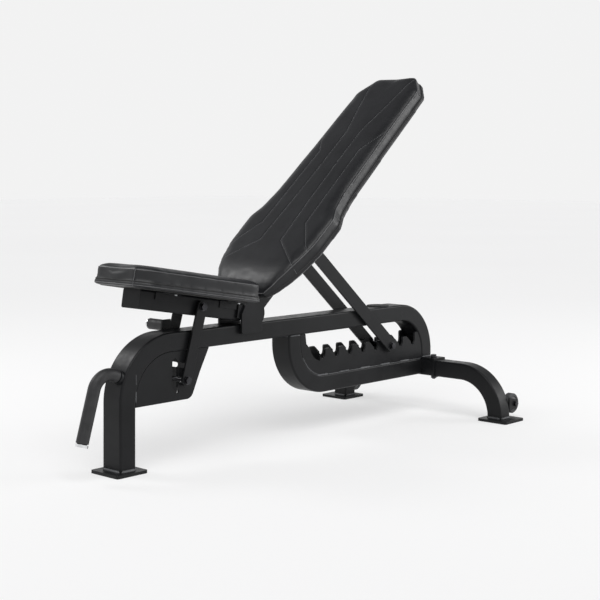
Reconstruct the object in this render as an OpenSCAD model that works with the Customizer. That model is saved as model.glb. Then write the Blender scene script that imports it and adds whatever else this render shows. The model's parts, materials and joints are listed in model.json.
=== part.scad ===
// Adjustable weight bench, millimetres, +Z up.
// The origin is on the floor, under the centre of the front leg.
// +X runs along the bench to the rear feet; +Y is the left side when looking that way.

/* [Pose] */
// Backrest angle above horizontal
back_angle = 41; // [1:0.5:77]
// Seat tilt, front edge up
seat_tilt = 9.5; // [0.5:0.5:20]

/* [Main tube] */
// Tube size across the bench
tube_w = 70; // [60:1:80]
// Tube size in the plane of the bends
tube_t = 50; // [40:1:60]
// Tube wall
tube_wall = 3; // [2:0.5:4]
// Height of the beam's top face above the floor
beam_top = 340; // [320:5:360]
// Outer radius of the front bend
front_bend = 165; // [150:1:175]
// Outer radius of the rear bend
rear_bend = 150; // [140:1:155]
// Rear face of the main tube, measured from the leg's front face
rear_x = 1269; // [1250:1:1290]

/* [Ladder loop] */
// Front face of the loop
loop_x = 607; // [580:1:640]
// Underside of the loop's lower tube
loop_low = 115; // [110:1:118]
// Outer radius of the loop's front bend
loop_bend = 150; // [140:1:155]
// Number of ladder notches
notches = 8; // [4:1:8]
// Distance between notches
notch_pitch = 60.4; // [58:0.2:62]
// Centre of the rearmost notch, from the leg's front face
notch_last = 1175; // [1172:1:1177]
// Height of the roller's centre in a notch
notch_z = 221; // [219:1:223]
// Notch that holds the roller, counted from the front
notch_used = 6; // [1:1:8]

/* [Seat] */
// Width of the seat's tube
seat_tube_w = 68; // [60:1:69]
// Length of the seat pad
seat_len = 377; // [350:1:385]
// Width of the seat pad at its widest
seat_w = 286; // [260:2:290]
// Width of the seat pad's front edge
seat_nose_w = 144; // [120:2:170]
// Seat pad thickness above its board
seat_pad_t = 42; // [28:1:44]

/* [Backrest] */
// Length of the back pad
back_len = 931; // [880:1:935]
// Width of the back pad's lower part
back_w_low = 336; // [300:2:340]
// Width of the back pad's upper part
back_w_top = 254; // [230:2:270]
// Width of the back pad's top edge
back_nose_w = 158; // [130:2:180]
// Back pad thickness above its board
back_pad_t = 34; // [28:1:40]

/* [Stabilizer] */
// Distance between the rear legs' centres
rear_span = 615; // [580:1:640]
// Side of the square rear arms
arm_t = 50; // [46:1:50]
// Transport wheel diameter
wheel_d = 60; // [54:1:64]
// Transport wheel width
wheel_w = 24; // [20:1:25]

/* [Hidden] */
$fn = 48;

hw = tube_w / 2;
beam_low = beam_top - tube_t;
bend_fx = front_bend;
bend_fz = beam_top - front_bend;
bend_rx = rear_x - rear_bend;
bend_rz = beam_top - rear_bend;
loop_cx = loop_x + loop_bend;
loop_cz = loop_low + loop_bend;
foot_t = 8;
grip_x = 212;
grip_z = beam_top + 9;
grip_len = 58;
// front handle: where it leaves the leg, its tilt, bend radius and turn
handle_at = [14.4, -14, 240];
handle_tilt = -66;
handle_bend = 45;
handle_turn = 98;
// common hinge of the seat and the backrest
piv_x = 460;
piv_z = beam_top + 27;
frame_h = 50;
seat_hw = seat_tube_w / 2;
piv_r = 10;
run_gap = 0.05;
// flat side plates: the pair's inner and outer distance from the centre plane
bar_in = 41;
bar_out = 47;
web_in = 27;
web_out = 33;
lug_out = 40.6;
// seat: link pin on the seat, and the pin in the middle notch of the gusset slot
link_s = -197.5;
stop_x = 210.7;
stop_z = 213.9;
link_w = 32;
pin_r = 6;
// backrest: support pin, along and below the tube's centre line
sup_s = 286.3;
sup_n = -50;
sup_w = 40;
roller_r = 9;
roller_x = notch_last - (notches - notch_used) * notch_pitch;
// stabilizer
cross_z = 137;
arm_x = rear_x - 25.5;
arm_bend = 125;
arm_y = rear_span / 2;
cross_end = 79;
clamp_y = 64;
clamp_hole = 5.2;
flange_t = 8;
wheel_x = 1300;
wheel_y = arm_y + 5.5;
wheel_z = 46;
wheel_bore = 5.05;

function rot2(p, a) = [p[0] * cos(a) - p[1] * sin(a), p[0] * sin(a) + p[1] * cos(a)];
function seat_pt(s, n) = [piv_x, piv_z] + rot2([s, n], -seat_tilt);
function back_pt(s, n) = [piv_x, piv_z] + rot2([s, n], back_angle);
link_top = seat_pt(link_s, 0);
link_len = norm(link_top - [stop_x, stop_z]);
link_ang = atan2(link_top[0] - stop_x, link_top[1] - stop_z);
sup_top = back_pt(sup_s, sup_n);
sup_len = norm(sup_top - [roller_x, notch_z]);
sup_ang = atan2(sup_top[0] - roller_x, sup_top[1] - notch_z);

// points of an arc
function arc(c, r, a0, a1, n) = [for (i = [0:n]) let (a = a0 + (a1 - a0) * i / n) c + r * [cos(a), sin(a)]];
// rectangle centred on zero with rounded corners
function round_rect(w, h, r, n) = concat(
    arc([w / 2 - r, h / 2 - r], r, 0, 90, n), arc([r - w / 2, h / 2 - r], r, 90, 180, n),
    arc([r - w / 2, r - h / 2], r, 180, 270, n), arc([w / 2 - r, r - h / 2], r, 270, 360, n));
function rev(v) = [for (i = [len(v) - 1:-1:0]) v[i]];
function mir(v) = [for (p = rev(v)) [p[0], -p[1]]];

// tube section: first size in the plane of the bend, second across it
module tube_section(a = tube_t, b = tube_w, wall = tube_wall, r = 5) {
    difference() {
        polygon(round_rect(a, b, r, 3));
        polygon(round_rect(a - 2 * wall, b - 2 * wall, r - wall + 1, 3));
    }
}
// lengths along the bench are drawn from the leg's front face
module bench() { translate([-tube_t / 2, 0, 0]) children(); }
// a plate whose outline is drawn in X and Z, between two distances from the centre plane
module side_plate(y0, y1) { translate([0, y1, 0]) rotate([90, 0, 0]) linear_extrude(y1 - y0) children(); }
module one_side(s, y0, y1) { side_plate(s > 0 ? y0 : -y1, s > 0 ? y1 : -y0) children(); }
module both_sides(y0, y1) {
    side_plate(y0, y1) children();
    side_plate(-y1, -y0) children();
}
// part of a ring in the XZ plane, from angle a0 over angle da
module bend_xz(c, r, a0, da) {
    translate([c[0], 0, c[1]]) rotate([90, 0, 0]) rotate([0, 0, a0])
        rotate_extrude(angle = da, $fn = 128) translate([r, 0]) children();
}
module cross_rod(x, z, r, y0, y1) {
    translate([x, y1, z]) rotate([90, 0, 0]) cylinder(r = r, h = y1 - y0);
}
module in_seat() { translate([piv_x, 0, piv_z]) rotate([0, seat_tilt, 0]) children(); }
module in_back() { translate([piv_x, 0, piv_z]) rotate([0, -back_angle, 0]) children(); }
module in_link() { translate([link_top[0], 0, link_top[1]]) rotate([0, link_ang, 0]) children(); }
module in_support() { translate([sup_top[0], 0, sup_top[1]]) rotate([0, sup_ang, 0]) children(); }
// hexagon head bolt lying across the bench, head outwards on side s
module side_bolt(x, z, y_in, y_face, r, s) {
    translate([x, 0, z]) rotate([s > 0 ? -90 : 90, 0, 0]) {
        translate([0, 0, y_in]) cylinder(r = r, h = y_face - y_in + 1.5);
        translate([0, 0, y_face + 0.05]) cylinder(r = r * 1.9, h = 1.6);
        translate([0, 0, y_face + 1.65]) cylinder(r = r * 1.66, h = r * 1.05, $fn = 6);
    }
}
module bar_shape(len, w, hole_a, hole_b) {
    difference() {
        union() {
            translate([-w / 2, -len]) square([w, len]);
            circle(d = w);
            translate([0, -len]) circle(d = w);
        }
        circle(r = hole_a);
        translate([0, -len]) circle(r = hole_b);
    }
}

// ---- main frame ----
module front_leg_tube() {
    color("#26272a") bench() {
        translate([tube_t / 2, 0, foot_t]) linear_extrude(bend_fz - foot_t) tube_section();
        bend_xz([bend_fx, bend_fz], front_bend - tube_t / 2, 90, 90) tube_section();
    }
}
module main_beam_tube() {
    color("#26272a") bench()
        translate([bend_fx, 0, beam_top - tube_t / 2]) rotate([0, 90, 0])
            linear_extrude(bend_rx - bend_fx) tube_section();
}
module rear_bend_tube() {
    color("#26272a") bench() {
        bend_xz([bend_rx, bend_rz], rear_bend - tube_t / 2, 0, 90) tube_section();
        translate([rear_x - tube_t / 2, 0, cross_z + 31])
            linear_extrude(bend_rz - cross_z - 31) tube_section();
    }
}
module loop_tube() {
    color("#26272a") bench() {
        translate([loop_x + tube_t / 2, 0, loop_cz]) linear_extrude(beam_low - loop_cz) tube_section();
        bend_xz([loop_cx, loop_cz], loop_bend - tube_t / 2, 180, 90) tube_section();
        translate([loop_cx, 0, loop_low + tube_t / 2]) rotate([0, 90, 0])
            linear_extrude(arm_x - arm_t / 2 - loop_cx) tube_section();
    }
}
module front_foot_plate() {
    color("#232427") bench() translate([tube_t / 2, 0, 0]) linear_extrude(foot_t)
        polygon(round_rect(98, 106, 6, 3));
}
// catch slot: a channel with a foot and two notches that slope down and back
low_pin = [188.3, 188];
high_pin = [243, 243.6];
slot_r = pin_r + 0.4;
slot_pts = concat([[172, 263], [172, 197]], arc(low_pin, slot_r, 215, 355, 6),
    [[190, 197], [190, 212.3]], arc([stop_x, stop_z], slot_r, -103, 77, 8),
    [[190, 225.4], [190, 249.3]], arc(high_pin, slot_r, -103, 77, 8),
    [[190, 262.5]], arc([181, 263.5], 8.9, 10, 170, 8));
module gusset_plate(s) {
    low = 163;
    r_in = front_bend - tube_t;
    color("#2a2b2e") bench() one_side(s, web_in, web_out) difference() {
        polygon(concat([[tube_t, low], [222, low]], arc([222, low + 24], 24, -80, -27, 5),
            [[268, 230], [300, beam_low], [bend_fx + 1, beam_low]],
            arc([bend_fx, bend_fz], r_in, 91, 179, 16)));
        polygon(slot_pts);
    }
}
module gusset_plate_right() { gusset_plate(-1); }
module gusset_plate_left() { gusset_plate(1); }
module seat_stop_pin() { color("#1b1b1c") bench() cross_rod(stop_x, stop_z, pin_r, -lug_out, lug_out); }
module side_grip_tab() {
    color("#232427") bench() side_plate(hw, 40)
        polygon([[grip_x - 22, beam_low + 8], [grip_x + 16, beam_low + 8], [grip_x + 14, grip_z + 16],
            [grip_x - 14, grip_z + 16]]);
}
module side_grip_tube() {
    color("#1d1d1e") bench() translate([grip_x, 40, grip_z]) rotate([-90, 0, 0]) difference() {
        cylinder(r = 14.5, h = grip_len);
        translate([0, 0, -1]) cylinder(r = 11.5, h = grip_len + 2);
    }
}
module side_grip_cap() {
    color("#c9cbce") bench() translate([grip_x, 40 + grip_len, grip_z]) rotate([-90, 0, 0]) {
        translate([0, 0, -12]) cylinder(r = 11.4, h = 12);
        cylinder(r = 14.8, h = 4);
    }
}
// round tube that leaves the leg square to its face, bends down and ends in a straight grip
module handle_path(ro, ri, l0, l1, l2a, l2b) {
    translate(handle_at) rotate([0, handle_tilt, 0]) {
        translate([0, 0, l0]) linear_extrude(l1 - l0) handle_ring(ro, ri);
        if (l2b > l2a) {
            translate([-handle_bend, 0, 20]) rotate([90, 0, 0]) rotate_extrude(angle = handle_turn, $fn = 96)
                translate([handle_bend, 0]) handle_ring(ro, ri);
            past_bend() translate([0, 0, l2a]) linear_extrude(l2b - l2a) handle_ring(ro, ri);
        }
    }
}
module past_bend() {
    translate([handle_bend * cos(handle_turn) - handle_bend, 0, 20 + handle_bend * sin(handle_turn)])
        rotate([0, -handle_turn, 0]) children();
}
module handle_ring(ro, ri) {
    difference() {
        circle(r = ro);
        circle(r = ri);
    }
}
// the leg's bend is cut out of what is welded on to it
module clear_of_bend() {
    difference() {
        children();
        cross_rod(bend_fx, bend_fz, front_bend + 0.5, -hw, hw);
    }
}
module handle_tube() { color("#2a2a2c") bench() clear_of_bend() handle_path(12.7, 10.7, -1, 20, 0, 132); }
module handle_collar() { color("#1b1b1c") bench() clear_of_bend() handle_path(18.5, 12.8, -3, 9, 0, 0); }
module handle_grip() { color("#161617") bench() handle_path(16, 12.8, 10, 20, 0, 130); }
module handle_end_cap() {
    color("#c9cbce") bench() translate(handle_at) rotate([0, handle_tilt, 0]) past_bend() {
        translate([0, 0, 118]) cylinder(r = 10.6, h = 15);
        translate([0, 0, 132.2]) cylinder(r = 16.2, h = 7);
    }
}

// ---- hinge bracket ----
module pivot_plate(s) {
    color("#2b2c2f") bench() one_side(s, bar_in, bar_out)
        polygon(concat([[piv_x - 51, beam_top + 29], [piv_x - 51, beam_top - 19]],
            arc([piv_x - 45, beam_top - 19], 6, 180, 270, 3),
            arc([piv_x + 20, beam_top - 19], 6, 270, 360, 3),
            arc([piv_x, piv_z], 36, -44, 110, 12), [[piv_x - 34, beam_top + 57]]));
}
module pivot_plate_right() { pivot_plate(-1); }
module pivot_plate_left() { pivot_plate(1); }
module pivot_spacers() {
    color("#26272a") bench() both_sides(hw, bar_in)
        translate([piv_x - 48, beam_top - 25]) square([70, 22]);
}
module pivot_shaft() { color("#2b2c2f") bench() cross_rod(piv_x, piv_z, piv_r, -bar_in, bar_in); }

// ---- ladder ----
// one notch with its round seat, and the tooth behind it
function notch_seat(x) = concat([[x - 9.5, notch_z + 2]],
    arc([x, notch_z + 0.45], roller_r + 0.5, 190, 350, 8));
function tooth(x) = [[x + 10.5, notch_z + 4], [x + 10.5, notch_z + 15], [x + 13, notch_z + 19],
    [x + 29, notch_z + 19], [x + 35, notch_z + 15], [x + 47, notch_z + 4]];
// the frontmost valley is wider; on the left plate a flat step leads into it
function first_valley(s, x) = s > 0
    ? [[x - 64, notch_z + 20], [x - 28, notch_z + 20], [x - 22, notch_z + 14], [x - 12, notch_z + 1]]
    : arc([x - 2, notch_z + 41], 56, 196, 258, 7);
module ladder_plate(s) {
    r_in = loop_bend - tube_t;
    r_rear = rear_bend - tube_t;
    top = loop_low + tube_t;
    front = loop_x + tube_t;
    first = notch_last - (notches - 1) * notch_pitch;
    teeth = [for (i = [0:notches - 2]) each concat(notch_seat(first + i * notch_pitch),
        tooth(first + i * notch_pitch))];
    last = concat(notch_seat(notch_last), [[notch_last + 10.5, notch_z + 4],
        [notch_last + 10.5, notch_z + 24], [notch_last + 14, notch_z + 29]]);
    up = asin((notch_z + 29 - bend_rz) / r_rear);
    color("#2c2d30") bench() one_side(s, web_in, web_out) polygon(concat(
        [[front, beam_low], [front + 20, beam_low], [front + 24, notch_z + 40]],
        first_valley(s, first), teeth, last, arc([bend_rx, bend_rz], r_rear, up, 0, 6),
        [[rear_x - tube_t, top]], arc([loop_cx, loop_cz], r_in, 270, 180, 12)));
}
module ladder_plate_right() { ladder_plate(-1); }
module ladder_plate_left() { ladder_plate(1); }
module ladder_roller() {
    color("#3a3b3e") bench() difference() {
        cross_rod(roller_x, notch_z, roller_r, -lug_out, lug_out);
        cross_rod(roller_x, notch_z, 6.1, -lug_out - 1, lug_out + 1);
    }
}
module beam_bumper() { color("#161617") bench() translate([1042, 0, beam_top]) cylinder(r = 34, h = 3); }

// ---- rear stabilizer ----
module rear_cross_tube() {
    color("#242528") bench() difference() {
        translate([arm_x, cross_end, cross_z]) rotate([90, 0, 0]) linear_extrude(2 * cross_end)
            tube_section(arm_t, arm_t);
        for (y = [-clamp_y, clamp_y]) translate([arm_x, y, cross_z - 40]) cylinder(r = clamp_hole, h = 80);
    }
}
module rear_top_plate() {
    color("#232427") bench() translate([arm_x + 0.9, 0, cross_z + 25]) difference() {
        linear_extrude(6) polygon(round_rect(49, 2 * cross_end, 3, 3));
        for (y = [-clamp_y, clamp_y]) translate([-0.9, y, -1]) cylinder(r = clamp_hole, h = 8);
    }
}
module rear_clamp_bolts() {
    color("#1b1b1c") bench() for (y = [-clamp_y, clamp_y]) translate([arm_x, y, 0]) {
        translate([0, 0, cross_z - 37]) cylinder(r = 5, h = 72);
        translate([0, 0, cross_z + 31]) cylinder(r = 10.5, h = 1.8);
        translate([0, 0, cross_z + 32.8]) cylinder(r = 8.6, h = 7, $fn = 6);
        translate([0, 0, cross_z - 34.5]) cylinder(r = 8.6, h = 9.4, $fn = 6);
    }
}
module arm_half(s) {
    spig = 42;
    y0 = cross_end + flange_t;
    y1 = arm_y - arm_bend;
    bench() difference() {
        union() {
            translate([arm_x, s > 0 ? y0 : -y1, cross_z]) rotate([-90, 0, 0])
                linear_extrude(y1 - y0) tube_section(arm_t, arm_t);
            translate([arm_x, s > 0 ? 45 : -y0, cross_z]) rotate([-90, 0, 0])
                linear_extrude(y0 - 45) tube_section(spig, spig, 3, 4);
            translate([arm_x, s * y1, cross_z - arm_bend]) rotate([90, 0, 90])
                rotate([0, 0, s > 0 ? 0 : 90]) rotate_extrude(angle = 90, $fn = 128)
                    translate([arm_bend, 0]) tube_section(arm_t, arm_t);
            translate([arm_x, s * arm_y, foot_t]) linear_extrude(cross_z - arm_bend - foot_t)
                tube_section(arm_t, arm_t);
        }
        translate([arm_x, s * clamp_y, cross_z - 40]) cylinder(r = clamp_hole, h = 80);
    }
}
module stabilizer_arm_right() { color("#25262a") arm_half(-1); }
module stabilizer_arm_left() { color("#25262a") arm_half(1); }
module arm_flanges() {
    color("#1e1f21") bench() both_sides(cross_end, cross_end + flange_t) translate([arm_x, cross_z])
        difference() {
        translate([0, 1.5]) polygon(round_rect(57, 59, 3, 3));
        polygon(round_rect(43, 43, 2, 3));
    }
}
module rear_foot_plate(s) {
    color("#232427") bench() translate([arm_x, s * (arm_y + 8), 0])
        linear_extrude(foot_t) polygon(round_rect(98, 102, 6, 3));
}
module rear_foot_plate_right() { rear_foot_plate(-1); }
module rear_foot_plate_left() { rear_foot_plate(1); }
module wheel_forks() {
    x0 = arm_x + arm_t / 2;
    color("#242528") bench() for (s = [-1, 1]) for (k = [-1, 1])
        translate([0, s * (wheel_y + k * (wheel_w / 2 + 4)), 0]) side_plate(-2, 2) difference() {
            polygon(concat([[x0, wheel_z - 20], [wheel_x, wheel_z - 13]],
                arc([wheel_x, wheel_z], 13, -80, 80, 8), [[x0, wheel_z + 22]]));
            translate([wheel_x, wheel_z]) circle(r = wheel_bore);
        }
}
module wheel_axle_bolts() {
    color("#1b1b1c") bench() for (s = [-1, 1]) translate([wheel_x, s * wheel_y, wheel_z])
        rotate([s > 0 ? -90 : 90, 0, 0]) {
            translate([0, 0, -wheel_w / 2 - 7]) cylinder(r = 5, h = wheel_w + 14);
            translate([0, 0, wheel_w / 2 + 6]) cylinder(r = 8.6, h = 6, $fn = 6);
            translate([0, 0, -wheel_w / 2 - 12]) cylinder(r = 8.6, h = 6, $fn = 6);
        }
}
module wheel_hub(s) {
    bench() translate([wheel_x, s * wheel_y, wheel_z]) rotate([90, 0, 0]) difference() {
        union() {
            cylinder(r = 20, h = wheel_w - 6, center = true);
            cylinder(r = 9, h = wheel_w + 2, center = true);
        }
        cylinder(r = wheel_bore, h = wheel_w + 6, center = true);
    }
}
module wheel_tyre(s) {
    bench() translate([wheel_x, s * wheel_y, wheel_z]) rotate([90, 0, 0]) rotate_extrude($fn = 96)
        polygon([[20, -wheel_w / 2 + 2], [22, -wheel_w / 2], [wheel_d / 2 - 4, -wheel_w / 2],
            [wheel_d / 2, -wheel_w / 2 + 4], [wheel_d / 2, wheel_w / 2 - 4],
            [wheel_d / 2 - 4, wheel_w / 2], [22, wheel_w / 2], [20, wheel_w / 2 - 2]]);
}
module wheel_hub_right() { color("#55575a") wheel_hub(-1); }
module wheel_hub_left() { color("#55575a") wheel_hub(1); }
module wheel_tyre_right() { color("#141414") wheel_tyre(-1); }
module wheel_tyre_left() { color("#141414") wheel_tyre(1); }

// ---- seat, drawn flat with the hinge at zero and the seat towards -X ----
seat_rear = -83;
seat_front = seat_rear - seat_len;
tube_rear = -40;
tube_front = -400;
board_t = 12;
pad_n = frame_h / 2 + board_t + 0.4;
// half outline of the seat, drawn in by g
function seat_half(g) = [[seat_front + g, seat_nose_w / 2 - g / 2], [seat_front + 38, seat_w / 2 - 34 - g],
    [seat_front + 155, seat_w / 2 - 14 - g], [seat_front + 275, seat_w / 2 - 2 - g],
    [seat_rear - 30, seat_w / 2 - g], [seat_rear - 8 - g / 2, seat_w / 2 - 5 - g],
    [seat_rear - g, seat_w / 2 - 16 - g]];
function full(v) = concat(v, mir(v));
module seat_tube() {
    color("#25262a") bench() in_seat() difference() {
        translate([tube_front, 0, 0]) rotate([0, 90, 0])
            linear_extrude(tube_rear - tube_front) tube_section(frame_h, seat_tube_w);
        cross_rod(link_s, 0, pin_r + 0.1, -hw - 1, hw + 1);
    }
}
module seat_tube_cap() {
    color("#25262a") bench() in_seat() translate([tube_front - 3, 0, 0]) rotate([0, 90, 0])
        linear_extrude(3) polygon(round_rect(frame_h, seat_tube_w, 5, 3));
}
module seat_hinge_lugs() {
    color("#26272a") bench() in_seat() both_sides(seat_hw, lug_out) difference() {
        union() {
            polygon([[-61, -18], [0, -22], [0, 22], [-61, 18]]);
            circle(r = 22);
        }
        circle(r = piv_r + run_gap);
    }
}
module seat_brackets() {
    color("#292a2d") bench() in_seat() for (x = [-355, -127]) for (s = [-1, 1]) {
        translate([x, s > 0 ? seat_hw : -seat_hw - 3, 4]) cube([64, 3, 21]);
        translate([x, s > 0 ? seat_hw + 3 : -seat_hw - 32, 22]) cube([64, 29, 3]);
    }
}
module seat_screws() {
    color("#8e9092") bench() in_seat() for (x = [-304, -76]) for (y = [-55, 55])
        translate([x, y, 19]) cylinder(r = 4.2, h = 3);
}
module seat_board() {
    color("#1a1a1b") bench() in_seat() translate([0, 0, frame_h / 2 + 0.1])
        linear_extrude(board_t) polygon(full(seat_half(8)));
}
module seat_pad() {
    top = pad_n + seat_pad_t + 1;
    r = 22;
    color("#232325") bench() in_seat() intersection() {
        translate([0, 0, pad_n]) linear_extrude(seat_pad_t + 1) polygon(full(seat_half(0)));
        side_plate(-200, 200) polygon(concat(
            [[seat_front - 5, top], [seat_front - 5, pad_n], [seat_rear, pad_n]],
            arc([seat_rear - r, top - r], r, 0, 90, 8)));
    }
}
module seat_link_top_bolts() {
    color("#1b1b1c") bench() in_seat() for (s = [-1, 1])
        side_bolt(link_s, 0, seat_hw - 9, bar_out, pin_r, s);
}
module seat_link(s) {
    color("#2b2c2f") bench() in_link() one_side(s, bar_in, bar_out)
        bar_shape(link_len, link_w, pin_r + run_gap, pin_r + run_gap);
}
module seat_link_right() { seat_link(-1); }
module seat_link_left() { seat_link(1); }
module seat_link_low_bolts() {
    color("#1b1b1c") bench() in_link() for (s = [-1, 1])
        side_bolt(0, -link_len, bar_in, bar_out, pin_r, s);
}

// ---- backrest, drawn flat with the hinge at zero and the back towards +X ----
back_start = 28.3;
back_end = back_start + back_len;
back_tube_a = 28;
back_tube_b = 820;
// half outline of the back pad, drawn in by g
function back_half(g) = [[back_start + g, 78 - g / 2], [back_start + 31, 104 - g], [back_start + 64, 130 - g],
    [back_start + 112, back_w_low / 2 - 17 - g], [back_start + 179, back_w_low / 2 - 2 - g],
    [back_start + 282, back_w_low / 2 - g], [back_start + 304, back_w_low / 2 - 8 - g],
    [back_start + 350, back_w_top / 2 + 18 - g], [back_start + 400, back_w_top / 2 + 10 - g],
    [back_start + 640, back_w_top / 2 + 3 - g], [back_end - 62, back_w_top / 2 - 2 - g],
    [back_end - 8 - g, back_nose_w / 2 + 6 - g / 2], [back_end - g, back_nose_w / 2 - 6 - g / 2]];
module back_tube() {
    color("#25262a") bench() in_back() translate([back_tube_a, 0, 0]) rotate([0, 90, 0])
        linear_extrude(back_tube_b - back_tube_a) tube_section(frame_h, tube_w);
}
module back_tube_cap() {
    color("#161617") bench() in_back() translate([back_tube_b, 0, 0]) rotate([0, 90, 0]) {
        linear_extrude(3) polygon(round_rect(frame_h, tube_w, 5, 3));
        translate([0, 0, -12]) linear_extrude(12) polygon(round_rect(frame_h - 7.4, tube_w - 7.4, 3, 3));
    }
}
module back_hinge_knuckle() {
    color("#26272a") bench() in_back() difference() {
        union() {
            cross_rod(0, 0, 18, -33.6, 33.6);
            side_plate(-33.6, 33.6) translate([0, -18]) square([back_tube_a, 36]);
        }
        cross_rod(0, 0, piv_r + run_gap, -36, 36);
    }
}
module back_wings() {
    color("#292a2d") bench() in_back() for (x = [150, 640]) for (s = [-1, 1])
        translate([x, s > 0 ? hw : -95, frame_h / 2 - 5]) cube([60, 95 - hw, 5]);
}
module back_screws() {
    color("#8e9092") bench() in_back() for (x = [180, 670]) for (y = [-78, 78])
        translate([x, y, frame_h / 2 - 8]) cylinder(r = 6, h = 3);
}
module back_board() {
    color("#1a1a1b") bench() in_back() translate([0, 0, frame_h / 2 + 0.1])
        linear_extrude(board_t) polygon(full(back_half(8)));
}
// the pad thins towards its lower end, and its edge there keeps clear of the raised seat
module back_pad() {
    h0 = pad_n;
    h1 = h0 + back_pad_t + 1;
    color("#232325") bench() in_back() intersection() {
        translate([0, 0, h0]) linear_extrude(h1 - h0) polygon(full(back_half(0)));
        side_plate(-200, 200) polygon([[back_end + 5, h1], [back_end + 5, h0], [back_start + 7, h0],
            [back_start + 9, h0 + 2], [back_start + 30, h0 + 12], [back_start + 70, h0 + 24],
            [back_start + 120, h1]]);
    }
}
module support_lugs() {
    color("#2a2b2e") bench() in_back() difference() {
        union() {
            both_sides(hw + 1, lug_out) {
                polygon([[sup_s - 56, 18], [sup_s - 56, -10],
                    [sup_s - 18, sup_n - 4], [sup_s + 18, sup_n - 4],
                    [sup_s + 56, -10], [sup_s + 56, 18]]);
                translate([sup_s, sup_n]) circle(r = 19);
            }
            both_sides(hw, hw + 1) translate([sup_s - 56, -18]) square([112, 36]);
        }
        cross_rod(sup_s, sup_n, pin_r + 0.1, -50, 50);
    }
}
module support_top_bolts() {
    color("#1b1b1c") bench() in_back() for (s = [-1, 1])
        side_bolt(sup_s, sup_n, hw + 1.2, bar_out, pin_r, s);
}
module support_bar(s) {
    color("#2b2c2f") bench() in_support() one_side(s, bar_in, bar_out)
        bar_shape(sup_len, sup_w, pin_r + run_gap, pin_r + run_gap);
}
module support_bar_right() { support_bar(-1); }
module support_bar_left() { support_bar(1); }
module support_low_bolts() {
    color("#1b1b1c") bench() in_support() for (s = [-1, 1])
        side_bolt(0, -sup_len, bar_in, bar_out, pin_r, s);
}

front_leg_tube();
main_beam_tube();
rear_bend_tube();
loop_tube();
front_foot_plate();
gusset_plate_right();
gusset_plate_left();
seat_stop_pin();
side_grip_tab();
side_grip_tube();
side_grip_cap();
handle_tube();
handle_collar();
handle_grip();
handle_end_cap();
pivot_plate_right();
pivot_plate_left();
pivot_spacers();
pivot_shaft();
ladder_plate_right();
ladder_plate_left();
ladder_roller();
beam_bumper();
rear_cross_tube();
rear_top_plate();
rear_clamp_bolts();
stabilizer_arm_right();
stabilizer_arm_left();
arm_flanges();
rear_foot_plate_right();
rear_foot_plate_left();
wheel_forks();
wheel_axle_bolts();
seat_tube();
seat_tube_cap();
seat_hinge_lugs();
seat_brackets();
seat_screws();
seat_board();
seat_pad();
seat_link_top_bolts();
seat_link_right();
seat_link_left();
seat_link_low_bolts();
back_tube();
back_tube_cap();
back_hinge_knuckle();
back_wings();
back_screws();
back_board();
back_pad();
support_lugs();
support_top_bolts();
support_bar_right();
support_bar_left();
support_low_bolts();
wheel_hub_right();
wheel_tyre_right();
wheel_hub_left();
wheel_tyre_left();
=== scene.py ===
"""Adjustable weight bench: finished pads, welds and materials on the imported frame. Metres, the CAD's own frame."""
import json
import math

import bmesh
import bpy
import numpy as np
from mathutils import Matrix, Vector
from mathutils.bvhtree import BVHTree


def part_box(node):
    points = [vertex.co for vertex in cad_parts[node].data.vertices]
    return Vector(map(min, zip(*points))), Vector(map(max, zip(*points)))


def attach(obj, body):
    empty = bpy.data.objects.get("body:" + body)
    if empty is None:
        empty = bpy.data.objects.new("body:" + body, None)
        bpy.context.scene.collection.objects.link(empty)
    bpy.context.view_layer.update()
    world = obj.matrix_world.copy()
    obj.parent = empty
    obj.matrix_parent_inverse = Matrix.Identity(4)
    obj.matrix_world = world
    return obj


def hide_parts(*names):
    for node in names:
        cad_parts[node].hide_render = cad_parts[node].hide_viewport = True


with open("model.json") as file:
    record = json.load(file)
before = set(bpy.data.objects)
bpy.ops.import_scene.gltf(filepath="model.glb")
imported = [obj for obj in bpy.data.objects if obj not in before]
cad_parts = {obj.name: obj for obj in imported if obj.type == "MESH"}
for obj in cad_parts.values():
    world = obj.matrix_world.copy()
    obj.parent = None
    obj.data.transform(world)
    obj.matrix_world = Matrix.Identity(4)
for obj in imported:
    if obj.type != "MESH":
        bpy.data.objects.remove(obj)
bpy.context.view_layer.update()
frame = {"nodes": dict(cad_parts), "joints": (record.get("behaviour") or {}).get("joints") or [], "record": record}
nodes = frame["nodes"]
joints = {j["name"]: j for j in frame["joints"]}
MM = 0.001

# ---- driving sizes, in millimetres unless noted; the pads are drawn flat, hinge at zero ----
BACK_ANGLE = 41.0
SEAT_TILT = 9.5
PAD_LOW = 25.8
PIPE_R = 1.2
LOWER_PIPE_R = 0.9
LOWER_PIPE_RISE = 6
GROOVE_R = 1.7
SEAM_R = 0.8
LIP_SHARE = 0.34
CHANNEL_DEPTH = 0.7
CHANNEL_WIDTH = 3.0
TOP_FROM = 12
LOOP_STEP = 7
PIPE_STEP = 5
CORNER_POINTS = 8
SPINE_END = 70
# half outlines: distance from the hinge, half width, corner radius
SEAT_OUTLINE = [(-467, 77, 10), (-428, 113, 60), (-300, 133, 120), (-180, 144, 120), (-108, 147, 50), (-80, 142, 20)]
BACK_OUTLINE = [(29, 84, 16), (50, 110, 40), (92, 135, 60), (140, 154, 90), (207, 169, 90), (312, 171, 34),
                (352, 153, 50), (425, 141, 80), (640, 134, 100), (890, 129, 45), (961, 80, 24)]
# stitched lines on the pad tops, each also mirrored
BACK_STITCH = [[(112, 150), (208, 40), (380, 32), (540, 28)], [(178, 154), (281, 84), (596, 77), (676, 118)],
               [(940, 80), (804, 54), (690, 28), (540, 28)]]
# heights in the side wall, as shares from the underside to the rim, at which its insets are given
WALL_SHARES = (0, 0.12, 0.28, 0.37, 0.9, 1)
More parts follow.
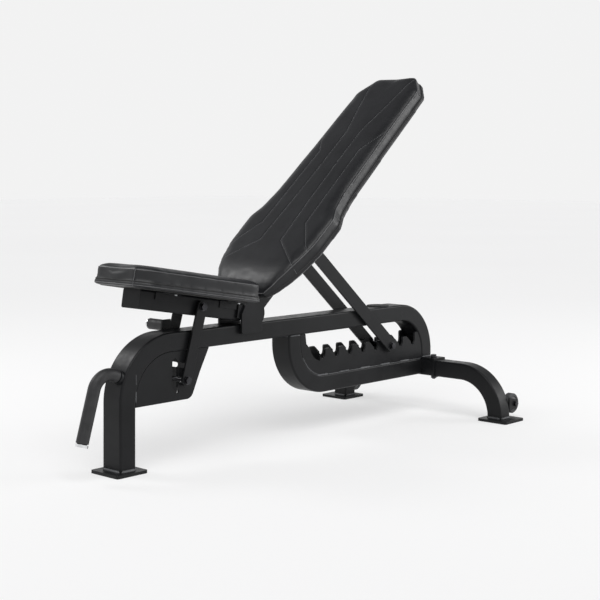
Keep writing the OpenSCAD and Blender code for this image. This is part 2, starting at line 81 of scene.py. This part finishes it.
# the shell's rings: on the underside (inset), up the wall (share), over the rim (inset, share of crown)
UNDER_INSETS = (34, 8)
WALL_RINGS = (0.05, 0.12, 0.2, 0.28, 0.37, 0.5, 0.7, 0.9, 1)
CROWN_RINGS = ((7, 0.2), (12, 0.42), (20, 0.64), (34, 0.84))
TOP_RINGS = 3
TOP_RING_STEP = 0.25
# the cloth that puffs the covers: voxel and furthest move in metres, and the height over which it comes free
VOXEL = 0.005
PUFF_LIMIT = 0.0025
PUFF_FRAMES = 20
PUFF_PRESSURE = 4
CLOTH_STIFFNESS = 20
CLOTH_BENDING = 1.5
HELD_BELOW = 3
FREE_OVER = 20


def placed(joint, angle):
    """Maps a pad drawn flat, in metres, to its place; angle in degrees is its rise along local X."""
    a = math.radians(angle)
    turn = Matrix(((math.cos(a), 0, -math.sin(a)), (0, 1, 0), (math.sin(a), 0, math.cos(a))))
    return Matrix.Translation(joints[joint]["pos_m"]) @ turn.to_4x4()


BACK = placed("backrest_hinge", BACK_ANGLE)
SEAT = placed("seat_hinge", -SEAT_TILT)


# ---- materials ----
NOISE_SPAN = (0.3, 0.7)


class Look:
    """One procedural material: a principled shader with noise in its colour, roughness and relief."""

    def __init__(self, name, roughness, metallic=0.0, **sockets):
        self.mat = bpy.data.materials.new(name)
        self.mat.use_nodes = True
        self.tree = self.mat.node_tree
        self.bsdf = self.tree.nodes["Principled BSDF"]
        self.bsdf.inputs["Metallic"].default_value = metallic
        self.bsdf.inputs["Roughness"].default_value = roughness
        for key, value in sockets.items():
            self.bsdf.inputs[key.replace("_", " ")].default_value = value
        self.where = self.new("ShaderNodeTexCoord").outputs["Object"]
        self.normal = None

    def new(self, kind, **values):
        node = self.tree.nodes.new(kind)
        for key, value in values.items():
            setattr(node, key, value)
        return node

    def link(self, a, b):
        self.tree.links.new(a, b)

    def noise(self, scale, detail=3.0, stretch=(1, 1, 1)):
        move = self.new("ShaderNodeMapping")
        move.inputs["Scale"].default_value = stretch
        self.link(self.where, move.inputs["Vector"])
        tex = self.new("ShaderNodeTexNoise")
        tex.inputs["Scale"].default_value = scale
        tex.inputs["Detail"].default_value = detail
        self.link(move.outputs["Vector"], tex.inputs["Vector"])
        return tex.outputs["Fac"]

    def cells(self, scale):
        tex = self.new("ShaderNodeTexVoronoi", feature="DISTANCE_TO_EDGE")
        tex.inputs["Scale"].default_value = scale
        self.link(self.where, tex.inputs["Vector"])
        return tex.outputs["Distance"]

    def colour(self, fac, low, high):
        ramp = self.new("ShaderNodeValToRGB")
        for stop, position, colour in zip(ramp.color_ramp.elements, NOISE_SPAN, (low, high)):
            stop.position = position
            stop.color = (*colour, 1)
        self.link(fac, ramp.inputs["Fac"])
        self.link(ramp.outputs["Color"], self.bsdf.inputs["Base Color"])

    def rough(self, fac, low, high):
        span = self.new("ShaderNodeMapRange")
        span.inputs["To Min"].default_value = low
        span.inputs["To Max"].default_value = high
        span.inputs["From Min"].default_value = NOISE_SPAN[0]
        span.inputs["From Max"].default_value = NOISE_SPAN[1]
        self.link(fac, span.inputs["Value"])
        self.link(span.outputs["Result"], self.bsdf.inputs["Roughness"])

    def round_edges(self, radius):
        bevel = self.new("ShaderNodeBevel", samples=4)
        bevel.inputs["Radius"].default_value = radius
        self.normal = bevel.outputs["Normal"]

    def relief(self, height, strength, depth):
        bump = self.new("ShaderNodeBump")
        bump.inputs["Strength"].default_value = strength
        bump.inputs["Distance"].default_value = depth
        self.link(height, bump.inputs["Height"])
        if self.normal:
            self.link(self.normal, bump.inputs["Normal"])
        self.normal = bump.outputs["Normal"]

    def done(self):
        if self.normal:
            self.link(self.normal, self.bsdf.inputs["Normal"])
        return self.mat


def powder_coat(name, low, high, rough_low, rough_high):
    look = Look(name, 0.42, Specular_IOR_Level=0.17)
    look.colour(look.noise(9, 4), low, high)
    look.rough(look.noise(60, 3), rough_low, rough_high)
    look.round_edges(0.0012)
    look.relief(look.noise(260, 2), 0.12, 0.0006)
    look.relief(look.noise(1500, 2), 0.22, 0.0002)
    return look.done()


def leatherette():
    look = Look("leatherette", 0.4, Specular_IOR_Level=0.36)
    look.colour(look.noise(14, 4), (0.007, 0.0073, 0.0085), (0.013, 0.0135, 0.015))
    look.rough(look.noise(45, 3), 0.33, 0.43)
    look.relief(look.noise(22, 3), 0.18, 0.002)
    look.relief(look.cells(620), 0.35, 0.00025)
    look.relief(look.noise(2200, 2), 0.15, 0.0001)
    return look.done()


# The piping's base colour is painted several times lighter than the cover's: a painted highlight along the welts and
# corner seams.
def piping_leather():
    look = Look("piping_leatherette_painted_highlight", 0.36, Specular_IOR_Level=0.6, Coat_Weight=0.2, Coat_Roughness=0.3)
    look.colour(look.noise(30, 3), (0.05, 0.05, 0.053), (0.08, 0.08, 0.083))
    look.rough(look.noise(120, 2), 0.3, 0.42)
    look.relief(look.cells(800), 0.3, 0.0002)
    return look.done()


def thread():
    look = Look("thread", 0.7, Sheen_Weight=0.3)
    look.colour(look.noise(900, 2), (0.1, 0.105, 0.11), (0.2, 0.205, 0.21))
    look.relief(look.noise(4000, 1, (3, 1, 1)), 0.4, 0.0002)
    return look.done()


def rubber(name, low, high, rough_low=0.6, rough_high=0.78):
    look = Look(name, 0.7, Specular_IOR_Level=0.4)
    look.colour(look.noise(40, 3), low, high)
    look.rough(look.noise(90, 2), rough_low, rough_high)
    look.round_edges(0.0008)
    look.relief(look.noise(1800, 2), 0.3, 0.00025)
    return look.done()


def metal(name, low, high, rough_low, rough_high):
    look = Look(name, 0.3, metallic=1.0)
    look.colour(look.noise(50, 3), low, high)
    look.rough(look.noise(160, 3), rough_low, rough_high)
    look.round_edges(0.0005)
    look.relief(look.noise(900, 2), 0.08, 0.0001)
    return look.done()


def board_face():
    look = Look("pad_board", 0.75)
    look.colour(look.noise(60, 5, (0.12, 1, 1)), (0.012, 0.012, 0.012), (0.03, 0.029, 0.027))
    look.rough(look.noise(30, 3), 0.65, 0.85)
    look.relief(look.noise(240, 4, (0.08, 1, 1)), 0.3, 0.0004)
    return look.done()


LOOKS = {
    "frame_paint": powder_coat("powder_coat", (0.006, 0.0063, 0.0069), (0.0105, 0.0108, 0.0118), 0.3, 0.42),
    "upholstery": leatherette(),
    "pad_board": board_face(),
    "grip_rubber": rubber("grip_rubber", (0.012, 0.012, 0.013), (0.024, 0.024, 0.025), 0.42, 0.6),
    "chrome_trim": metal("chrome", (0.72, 0.73, 0.74), (0.86, 0.87, 0.88), 0.12, 0.24),
    "cap_rubber": rubber("cap_rubber", (0.012, 0.012, 0.012), (0.022, 0.022, 0.022)),
    "black_fastener": metal("black_oxide", (0.03, 0.03, 0.033), (0.07, 0.07, 0.075), 0.28, 0.45),
    "steel_screw": metal("zinc", (0.4, 0.41, 0.42), (0.58, 0.59, 0.6), 0.22, 0.38),
    "wheel_tyre": rubber("tyre", (0.04, 0.041, 0.043), (0.07, 0.071, 0.074)),
    "wheel_hub": rubber("hub_plastic", (0.1, 0.102, 0.106), (0.16, 0.162, 0.166), 0.4, 0.55),
}
# The weld paint is painted about ten times lighter than the frame's powder coat, a painted highlight on the beads.
WELD_PAINTED_HIGHLIGHT = powder_coat("weld_paint_painted_highlight", (0.06, 0.062, 0.066), (0.12, 0.122, 0.126), 0.2, 0.32)
THREAD = thread()
PIPING_PAINTED_HIGHLIGHT = piping_leather()
for part in frame["record"]["subparts"]:
    mesh = nodes[part["node"]].data
    mesh.materials.clear()
    mesh.materials.append(LOOKS[part["material_slot"]])


# ---- mesh helpers ----
def piece(name, mesh, material, body):
    obj = bpy.data.objects.new(name, mesh)
    bpy.context.scene.collection.objects.link(obj)
    mesh.materials.clear()
    mesh.materials.append(material)
    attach(obj, body)
    return obj


def mesh_from(name, verts, faces, smooth=True):
    mesh = bpy.data.meshes.new(name)
    mesh.from_pydata([tuple(v) for v in verts], [], faces)
    bm = bmesh.new()
    bm.from_mesh(mesh)
    bmesh.ops.recalc_face_normals(bm, faces=bm.faces)
    bm.to_mesh(mesh)
    bm.free()
    mesh.polygons.foreach_set("use_smooth", [smooth] * len(mesh.polygons))
    return mesh


def tube(points, radius, closed=False, sides=8, up=Vector((0, 0, 1))):
    """Vertices and faces of a round strand along points; radius may be a function of the point's number."""
    verts, faces, n = [], [], len(points)
    for i, p in enumerate(points):
        ahead = points[(i + 1) % n] if closed else points[min(i + 1, n - 1)]
        behind = points[i - 1] if closed else points[max(i - 1, 0)]
        along = (ahead - behind).normalized()
        side = along.cross(up).normalized()
        over = side.cross(along)
        r = radius(i) if callable(radius) else radius
        for k in range(sides):
            a = 2 * math.pi * k / sides
            verts.append(p + side * (math.cos(a) * r) + over * (math.sin(a) * r))
    for i in range(n if closed else n - 1):
        for k in range(sides):
            a, b = i * sides, ((i + 1) % n) * sides
            faces.append((a + k, a + (k + 1) % sides, b + (k + 1) % sides, b + k))
    if not closed:
        faces.append(tuple(range(sides)))
        faces.append(tuple((n - 1) * sides + k for k in range(sides)))
    return verts, faces


def merged(parts):
    """Joins the vertices and faces of several parts."""
    verts, faces = [], []
    for v, f in parts:
        base = len(verts)
        verts.extend(v)
        faces.extend(tuple(base + i for i in face) for face in f)
    return verts, faces


def resampled(points, step, closed=True):
    """Points at an even step along a line through the given points."""
    pts = np.array([tuple(p) for p in points], float)
    if closed:
        pts = np.vstack([pts, pts[:1]])
    run = np.concatenate([[0], np.cumsum(np.linalg.norm(np.diff(pts, axis=0), axis=1))])
    count = max(4, int(round(run[-1] / step)))
    at = np.linspace(0, run[-1], count, endpoint=not closed)
    return np.stack([np.interp(at, run, pts[:, k]) for k in range(pts.shape[1])], axis=1)


def rounded_loop(half):
    """Closed outline from a half outline, with every corner rounded by its own radius."""
    corners = half + [(s, -w, r) for s, w, r in reversed(half)]
    out, n = [], len(corners)
    for i, (s, w, r) in enumerate(corners):
        p = np.array((s, w), float)
        a = np.array(corners[i - 1][:2], float) - p
        b = np.array(corners[(i + 1) % n][:2], float) - p
        la, lb = np.linalg.norm(a), np.linalg.norm(b)
        cosine = float(np.dot(a, b) / (la * lb))
        cut = min(r / math.tan(math.acos(max(-1, min(1, cosine))) / 2), 0.48 * min(la, lb))
        p0, p1 = p + a / la * cut, p + b / lb * cut
        for t in np.linspace(0, 1, CORNER_POINTS):
            out.append((1 - t) ** 2 * p0 + 2 * t * (1 - t) * p + t * t * p1)
    return resampled(out, LOOP_STEP)


# ---- pads ----
class Pad:
    """An upholstered pad drawn flat in millimetres: outline, side wall, crown and one rolled end."""

    def __init__(self, half, rim, crown, slope, insets):
        self.loop = rounded_loop(half)
        self.low, self.high = half[0][0], half[-1][0]
        self.rim, self.crown, self.slope = rim, crown, slope
        self.insets = insets
        self.lip = PAD_LOW + LIP_SHARE * (rim - PAD_LOW)

    def spine(self, s):
        """The points on the centre line that the outline is drawn in towards."""
        return np.stack([np.clip(s, self.low + SPINE_END, self.high - SPINE_END), np.zeros_like(s)], axis=1)

    def height(self, s, n):
        """Lowers everything above the underside where the pad thins towards its sloped end."""
        start, length, least = self.slope
        t = np.clip((s - start) / length, 0, 1)
        keep = least + (1 - least) * np.sqrt(t * (2 - t))
        return PAD_LOW + (n - PAD_LOW) * keep

    def wall(self, n):
        """How far the side wall is drawn in at height n."""
        share = (n - PAD_LOW) / (self.rim - PAD_LOW)
        return float(np.interp(share, WALL_SHARES, self.insets))

    def ring(self, inset, n, share=0.0):
        """The outline at height n, drawn in by a distance and by a share of the way to the spine."""
        spine = self.spine(self.loop[:, 0])
        out = self.loop - spine
        far = np.linalg.norm(out, axis=1, keepdims=True)
        flat = spine + out * np.maximum(0.02, 1 - (inset + share * far) / far)
        return np.column_stack([flat, self.height(flat[:, 0], np.full(len(flat), n))])

    def shell(self, name):
        """The closed form of rings from the underside up the wall and over the crowned top."""
        c, rim = self.crown, self.rim
        up = [PAD_LOW + (rim - PAD_LOW) * k for k in WALL_RINGS]
        rings = [self.ring(UNDER_INSETS[0], PAD_LOW), self.ring(UNDER_INSETS[1] + self.wall(PAD_LOW), PAD_LOW)]
        rings += [self.ring(self.wall(n), n) for n in up]
        rings += [self.ring(i, rim + k * c) for i, k in CROWN_RINGS]
        inset, risen = CROWN_RINGS[-1]
        for k in range(1, TOP_RINGS + 1):
            rings.append(self.ring(inset, rim + c * (risen + (1 - risen) * k / TOP_RINGS), share=TOP_RING_STEP * k))
        size = len(self.loop)
        verts = np.vstack(rings) * MM
        faces = []
        for r in range(len(rings) - 1):
            for i in range(size):
                j = (i + 1) % size
                faces.append((r * size + i, r * size + j, (r + 1) * size + j, (r + 1) * size + i))
        faces.append(tuple(range(size)))
        faces.append(tuple((len(rings) - 1) * size + i for i in range(size)))
        return mesh_from(name, verts, faces)


def coords(mesh):
    flat = np.zeros(len(mesh.vertices) * 3, np.float32)
    mesh.vertices.foreach_get("co", flat)
    return flat.reshape(-1, 3).astype(float)


def set_coords(mesh, co):
    mesh.vertices.foreach_set("co", co.astype(np.float32).ravel())
    mesh.update()


def applied(obj):
    """The object's mesh with its modifiers applied, as a new mesh."""
    graph = bpy.context.evaluated_depsgraph_get()
    return bpy.data.meshes.new_from_object(obj.evaluated_get(graph))


def puffed(mesh):
    """Remeshes the shell and blows it up a little as cloth; the underside stays flat and every move is limited."""
    obj = bpy.data.objects.new("puffing", mesh)
    bpy.context.scene.collection.objects.link(obj)
    grid = obj.modifiers.new("grid", "REMESH")
    grid.mode = "VOXEL"
    grid.voxel_size = VOXEL
    obj.data = applied(obj)
    obj.modifiers.clear()
    start = coords(obj.data)
    cloth = obj.modifiers.new("cloth", "CLOTH")
    cloth.settings.quality = 4
    cloth.settings.use_pressure = True
    cloth.settings.uniform_pressure_force = PUFF_PRESSURE
    cloth.settings.tension_stiffness = CLOTH_STIFFNESS
    cloth.settings.compression_stiffness = CLOTH_STIFFNESS
    cloth.settings.bending_stiffness = CLOTH_BENDING
    cloth.settings.effector_weights.gravity = 0
    cloth.collision_settings.use_collision = False
    cloth.point_cache.frame_end = PUFF_FRAMES
    for step in range(1, PUFF_FRAMES + 1):
        bpy.context.scene.frame_set(step)
    blown = applied(obj)
    moved = coords(blown) - start
    obj.modifiers.clear()
    bpy.context.scene.frame_set(1)
    far = np.linalg.norm(moved, axis=1, keepdims=True)
    moved *= np.minimum(1, PUFF_LIMIT / np.maximum(far, 1e-9))
    loose = np.clip((start[:, 2:3] / MM - PAD_LOW - HELD_BELOW) / FREE_OVER, 0, 1)
    set_coords(obj.data, start + moved * loose)
    fine = obj.modifiers.new("smooth", "SMOOTH")
    fine.factor = 0.5
    fine.iterations = 3
    level = obj.modifiers.new("fine", "SUBSURF")
    level.levels = 1
    out = applied(obj)
    bpy.data.objects.remove(obj)
    out.polygons.foreach_set("use_smooth", [True] * len(out.polygons))
    return out


def mirrored(lines):
    return [[(s, side * y) for s, y in line] for line in lines for side in (1, -1)]


def sew_channels(mesh, lines):
    """Sinks the top surface along each stitched line."""
    co = coords(mesh)
    flat = co[:, :2] / MM
    near = np.full(len(co), 1e9)
    for line in lines:
        for a, b in zip(line, line[1:]):
            a, b = np.array(a, float), np.array(b, float)
            t = np.clip(((flat - a) @ (b - a)) / np.dot(b - a, b - a), 0, 1)
            near = np.minimum(near, np.linalg.norm(flat - (a + t[:, None] * (b - a)), axis=1))
    top = co[:, 2] / MM > PAD_LOW + TOP_FROM
    co[:, 2] -= np.where(top, CHANNEL_DEPTH * np.exp(-((near / CHANNEL_WIDTH) ** 2)), 0) * MM
    set_coords(mesh, co)


def surface(mesh):
    return BVHTree.FromPolygons([v.co for v in mesh.vertices], [tuple(p.vertices) for p in mesh.polygons])


def laid(points, cover, lift=0.3):
    """Points in millimetres moved to the cover's nearest place, a little proud of it, in metres."""
    near = [cover.find_nearest(Vector(p) * MM) for p in points]
    return [place + normal * lift * MM for place, normal, _, _ in near]


def stitches(cover, lines, length=4.2, gap=1.3, radius=0.33):
    """Short strands of thread that lie on the pad's top along each line."""
    parts = []
    for line in lines:
        pts = resampled(line, (length + gap) / 4, closed=False)
        on_top = []
        for s, y in pts:
            hit = cover.ray_cast(Vector((s * MM, y * MM, 0.12)), Vector((0, 0, -1)))[0]
            on_top.append(hit + Vector((0, 0, radius * 0.35 * MM)) if hit else None)
        for i in range(0, len(on_top) - 4, 4):
            run = on_top[i:i + 4]
            if all(run):
                parts.append(tube(run, radius * MM, sides=6))
    return merged(parts)


def welt(pad, cover, inset, n, radius):
    """A cord laid round the cover at height n."""
    ring = resampled(pad.ring(inset, n), PIPE_STEP)
    return tube(laid(ring, cover), radius * MM, closed=True, sides=10)


def corner_seams(pad, cover, corners):
    """Upright seams down the side wall, at the outline's points nearest the given corners."""
    wall = [pad.ring(pad.wall(n) - 0.3, n) for n in np.linspace(PAD_LOW + 1, pad.rim - 1, 9)]
    parts = []
    for corner in corners:
        i = int(np.argmin(np.linalg.norm(pad.loop - np.array(corner), axis=1)))
        parts.append(tube(laid([r[i] for r in wall], cover), SEAM_R * MM, up=Vector((1, 0, 0))))
    return merged(parts)


def upholster(name, pad, lines, corners, place, body, cad_node):
    """The finished pad in place: its cover, which stands for the CAD pad, and the trims on it."""
    mesh = puffed(pad.shell(name))
    mesh.name = name + "_cover"
    sew_channels(mesh, lines)
    form = surface(mesh)
    runs = [welt(pad, form, pad.wall(pad.rim) + 0.6, pad.rim + 0.2, PIPE_R),
            welt(pad, form, 0.3, PAD_LOW + LOWER_PIPE_RISE, LOWER_PIPE_R)]
    groove = welt(pad, form, pad.wall(pad.lip) + 0.2, pad.lip, GROOVE_R)
    # The piping and corner seams wear the lightened piping colour, a painted highlight along the pad's edges.
    trims = [("_piping", merged(runs), PIPING_PAINTED_HIGHLIGHT, "upholstery"),
             ("_corner_seams", corner_seams(pad, form, corners), PIPING_PAINTED_HIGHLIGHT, "upholstery"),
             ("_groove_cord", groove, LOOKS["cap_rubber"], "cap_rubber")]
    if lines:
        trims.append(("_stitches", stitches(form, lines), THREAD, "upholstery"))
    mesh.transform(place)
    cover = piece(name + "_cover", mesh, LOOKS["upholstery"], body)
    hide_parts(cad_node)
    for suffix, strand, material, slot in trims:
        trim = mesh_from(name + suffix, *strand)
        trim.transform(place)
        piece(name + suffix, trim, material, body)


def both(points):
    return [(s, side * y) for s, y in points for side in (1, -1)]


# rim height, crown, slope (start, length, least share) and the wall's insets from underside to rim
seat_pad = Pad(SEAT_OUTLINE, 71.5, 11.0, (-999, 1, 1), (2.0, 0.0, 1.0, 5.5, 4.2, 4.0))
back_pad = Pad(BACK_OUTLINE, 67.5, 8.0, (29, 112, 0.25), (2.0, 0.0, 1.0, 5.6, 4.8, 4.6))
SEAT_CORNERS = both([(-467, 77), (-80, 142)])
BACK_CORNERS = both([(961, 80), (890, 129), (330, 163)])
upholster("seat", seat_pad, [], SEAT_CORNERS, SEAT, "seat", "seat_pad")
upholster("backrest", back_pad, mirrored(BACK_STITCH), BACK_CORNERS, BACK, "backrest", "back_pad")


# ---- welds, in metres ----
LOOP_BEND = 0.150
STITCH_FIRST = 0.070
STITCH_PITCH = 0.096
STITCH_LENGTH = 0.045
STITCH_COUNT = 5
RIPPLE_STEP = 0.0011
RIPPLE_SHARE = 0.12
BOX_CORNER = 0.004
# heights above the gusset plate's lower edge at which its beads start, and their length
GUSSET_BEADS = (0.012, 0.055)
GUSSET_BEAD_LENGTH = 0.03


def bead(a, b, radius):
    """One straight weld bead with the ripples of its pass."""
    a, b = Vector(a), Vector(b)
    count = max(6, int((b - a).length / RIPPLE_STEP))
    pts = [a.lerp(b, i / count) for i in range(count + 1)]

    def size(i):
        end = min(1, 0.35 + 0.25 * min(i, count - i))
        return radius * MM * end * (1 + RIPPLE_SHARE * math.cos(i * math.pi / 1.5))

    up = Vector((0, 0, 1)) if abs((b - a).normalized().z) < 0.9 else Vector((1, 0, 0))
    return tube(pts, size, up=up)


def bead_round(low, high, z, radius):
    """A bead round an upright tube's foot, between its box corners."""
    x0, y0, x1, y1 = low[0], low[1], high[0], high[1]
    c = BOX_CORNER
    sides = [((x0 + c, y0), (x1 - c, y0)), ((x1, y0 + c), (x1, y1 - c)),
             ((x1 - c, y1), (x0 + c, y1)), ((x0, y1 - c), (x0, y0 + c))]
    return [bead((*a, z), (*b, z), radius) for a, b in sides]


def ladder_foot(web, loop, y):
    """Points along the line where the ladder plate meets the loop, from its front curve to the rear."""
    radius = LOOP_BEND - (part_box("main_beam_tube")[1][2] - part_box("main_beam_tube")[0][2])
    x, z = loop[0][0] + LOOP_BEND, loop[0][2] + LOOP_BEND
    turn = [math.radians(a) for a in range(205, 270, 5)]
    curve = [Vector((x + radius * math.cos(a), y, z + radius * math.sin(a))) for a in turn]
    return curve + [Vector((x, y, web[0][2])), Vector((web[1][0] - 2 * MM, y, web[0][2]))]


def welds():
    """Every visible bead: round the feet, where the tubes meet, and along the ladder and gusset plates."""
    parts = []
    leg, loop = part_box("front_leg_tube"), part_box("loop_tube")
    beam, cross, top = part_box("main_beam_tube"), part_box("rear_cross_tube"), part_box("rear_top_plate")
    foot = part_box("front_foot_plate")
    tube_t = beam[1][2] - beam[0][2]
    parts += bead_round((leg[0][0], leg[0][1]), (leg[0][0] + tube_t, leg[1][1]), foot[1][2] + 1 * MM, 4.2)
    parts += bead_round((loop[0][0], loop[0][1]), (loop[0][0] + tube_t, loop[1][1]), loop[1][2] - 0.5 * MM, 2.0)
    for side in ("right", "left"):
        arm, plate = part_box("stabilizer_arm_" + side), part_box("rear_foot_plate_" + side)
        outer = arm[0][1] if side == "right" else arm[1][1]
        inner = outer + (tube_t if side == "right" else -tube_t)
        low_y, high_y = min(outer, inner), max(outer, inner)
        parts += bead_round((arm[0][0], low_y), (arm[1][0], high_y), plate[1][2] + 1 * MM, 4.0)
        s = -1 if side == "right" else 1
        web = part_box("ladder_plate_" + side)
        y = (web[0][1] if side == "right" else web[1][1]) + s * 0.8 * MM
        foot_run = ladder_foot(web, loop, y)
        # This continuous strand is a weld bead in the lightened weld paint; its colour also paints the bright catch
        # light along the loop tube's upper edge.
        parts.append(tube(foot_run, 1.2 * MM, up=Vector((0, 1, 0))))
        for k in range(STITCH_COUNT):
            x = web[0][0] + STITCH_FIRST + k * STITCH_PITCH
            parts.append(bead((x, y, web[0][2] + 1 * MM), (x + STITCH_LENGTH, y, web[0][2] + 1 * MM), 2.6))
        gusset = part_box("gusset_plate_" + side)
        y = (gusset[0][1] if side == "right" else gusset[1][1]) + s * 0.6 * MM
        x = gusset[0][0] + 0.4 * MM
        for rise in GUSSET_BEADS:
            z = gusset[0][2] + rise
            parts.append(bead((x, y, z), (x, y, z + GUSSET_BEAD_LENGTH), 1.7))
    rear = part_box("rear_bend_tube")
    parts += bead_round((rear[1][0] - tube_t, rear[0][1]), (rear[1][0], rear[1][1]), top[1][2] + 0.5 * MM, 2.2)
    return merged(parts)


# The beads wear the lightened weld paint, a painted highlight.
piece("weld_beads", mesh_from("weld_beads", *welds()), WELD_PAINTED_HIGHLIGHT, "frame")


# ---- camera, floor and light ----
LENS = 76.63
VIEW_SHIFT = -0.2081
VIEW_PLACE = (-2.0352, -2.4945, 0.7433)
VIEW_HEADING = -47.263
FLOOR_HALF = 30
FLOOR_GLOW = 0.49
# the room's grey from below to overhead
ROOM = ((0.15, (0.89, 0.89, 0.89, 1)), (0.55, (0.42, 0.42, 0.43, 1)), (0.85, (0.15, 0.15, 0.155, 1)))
SUN_POWER = 1.9
SUN_SPREAD = 50
SUN_AIM = (0.35, 0.45, -1)


def camera():
    data = bpy.data.cameras.new("camera")
    data.sensor_width = 36
    data.lens = LENS
    data.shift_y = VIEW_SHIFT
    cam = bpy.data.objects.new("camera", data)
    cam.location = VIEW_PLACE
    cam.rotation_euler = (math.radians(90), 0, math.radians(VIEW_HEADING))
    bpy.context.scene.collection.objects.link(cam)
    bpy.context.scene.camera = cam


def floor():
    """A plain pale floor that glows a little, so that it meets the pale room without a line."""
    corners = [(x * FLOOR_HALF, y * FLOOR_HALF, 0) for x, y in ((-1, -1), (1, -1), (1, 1), (-1, 1))]
    mesh = mesh_from("floor", corners, [(0, 1, 2, 3)], smooth=False)
    obj = bpy.data.objects.new("floor", mesh)
    bpy.context.scene.collection.objects.link(obj)
    look = Look("floor", 0.9, Specular_IOR_Level=0.1, Emission_Strength=FLOOR_GLOW)
    look.bsdf.inputs["Emission Color"].default_value = (1, 1, 1, 1)
    look.colour(look.noise(0.4, 2), (0.42, 0.42, 0.42), (0.43, 0.43, 0.43))
    mesh.materials.append(look.done())


def lamp(name, place, target, size, power):
    data = bpy.data.lights.new(name, "AREA")
    data.shape = "RECTANGLE"
    data.size, data.size_y = size
    data.energy = power
    obj = bpy.data.objects.new(name, data)
    obj.location = place
    obj.rotation_euler = (Vector(target) - Vector(place)).to_track_quat("-Z", "Y").to_euler()
    bpy.context.scene.collection.objects.link(obj)


def studio():
    """A pale room that darkens overhead, one broad soft sun, and a softbox on each side of the view."""
    world = bpy.data.worlds.new("studio")
    world.use_nodes = True
    tree = world.node_tree
    back = tree.nodes["Background"]
    where = tree.nodes.new("ShaderNodeTexCoord")
    split = tree.nodes.new("ShaderNodeSeparateXYZ")
    ramp = tree.nodes.new("ShaderNodeValToRGB")
    ramp.color_ramp.elements.new(ROOM[1][0])
    for stop, (position, colour) in zip(ramp.color_ramp.elements, ROOM):
        stop.position = position
        stop.color = colour
    tree.links.new(where.outputs["Generated"], split.inputs["Vector"])
    tree.links.new(split.outputs["Z"], ramp.inputs["Fac"])
    tree.links.new(ramp.outputs["Color"], back.inputs["Color"])
    bpy.context.scene.world = world
    sun = bpy.data.lights.new("sun", "SUN")
    sun.energy = SUN_POWER
    sun.angle = math.radians(SUN_SPREAD)
    obj = bpy.data.objects.new("sun", sun)
    obj.rotation_euler = Vector(SUN_AIM).to_track_quat("-Z", "Y").to_euler()
    bpy.context.scene.collection.objects.link(obj)
    lamp("softbox", (3.5, -2.1, 1.5), (0.5, 0, 0.5), (1.4, 2.0), 36)
    lamp("far_softbox", (-0.75, 2.2, 2.3), (0.3, 0, 0.5), (0.9, 0.9), 22)
    bpy.context.scene.view_settings.view_transform = "Standard"


camera()
floor()
studio()
